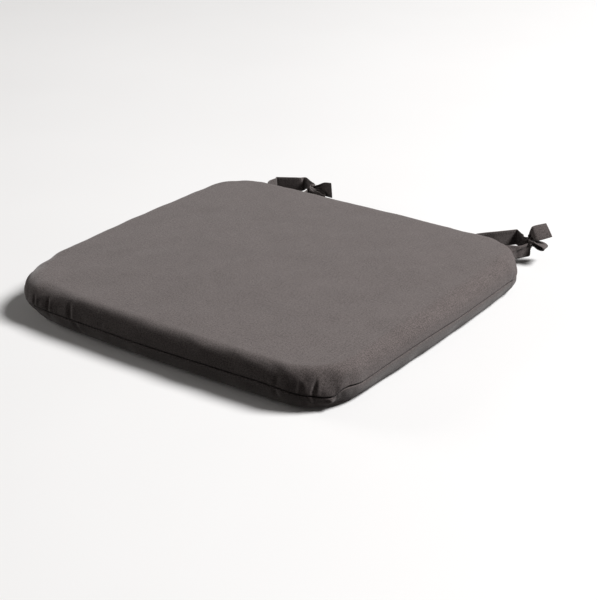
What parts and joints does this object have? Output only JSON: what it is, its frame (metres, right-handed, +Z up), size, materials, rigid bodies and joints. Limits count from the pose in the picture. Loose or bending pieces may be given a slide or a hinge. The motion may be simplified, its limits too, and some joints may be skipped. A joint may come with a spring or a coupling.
{
  "type": "chair seat pad",
  "caption": "Foam chair seat pad in a zipped canvas cover, with flat tape ties at its rear corners that go round the chair's back posts.",
  "frame": {"origin": "middle of the underside, where the pad rests on the chair's seat", "axes": "+Z up, -Y towards the pad's front edge, +Y towards the ties, +X to the right seen from the front"},
  "size_m": [0.4108, 0.4424, 0.0437],
  "materials": {
    "cover_fabric": "matte plain-weave cotton canvas, dark warm grey",
    "foam": "matte open-cell polyurethane foam, off-white",
    "thread": "matte polyester sewing thread, dark grey",
    "tie_tape": "flat doubled tape of the cover's canvas, stitched along its edge",
    "zip_tape": "woven polyester zip tape, dark grey",
    "zip_coil": "nylon coil, dark grey, slightly glossy",
    "zip_metal": "nickel-plated zinc, satin"
  },
  "bodies": {
    "pad": {"top_cover_panel": "cover_fabric", "bottom_cover_panel": "cover_fabric", "foam_core": "foam", "seam_thread": "thread", "tie_right_outer": "tie_tape", "tie_right_inner": "tie_tape", "tie_left_outer": "tie_tape", "tie_left_inner": "tie_tape", "zip_tape_upper": "zip_tape", "zip_tape_lower": "zip_tape", "zip_coil_upper": "zip_coil", "zip_coil_lower": "zip_coil", "zip_top_stop_upper": "zip_metal", "zip_top_stop_lower": "zip_metal", "zip_bottom_stop": "zip_metal"},
    "zip_slider_body": {"zip_slider": "zip_metal"},
    "zip_pull_body": {"zip_pull_tab": "zip_metal"}
  },
  "joints": [
    {"name": "zip_slide", "type": "slide", "parent": "pad", "child": "zip_slider_body", "axis": [1, 0, 0], "range_m": [0, 0.1646]},
    {"name": "pull_tab_swing", "type": "hinge", "parent": "zip_slider_body", "child": "zip_pull_body", "pos_m": [-0.0812, 0.1855, 0.019], "axis": [0, 0, 1], "range_deg": [0, 175]}
  ]
}
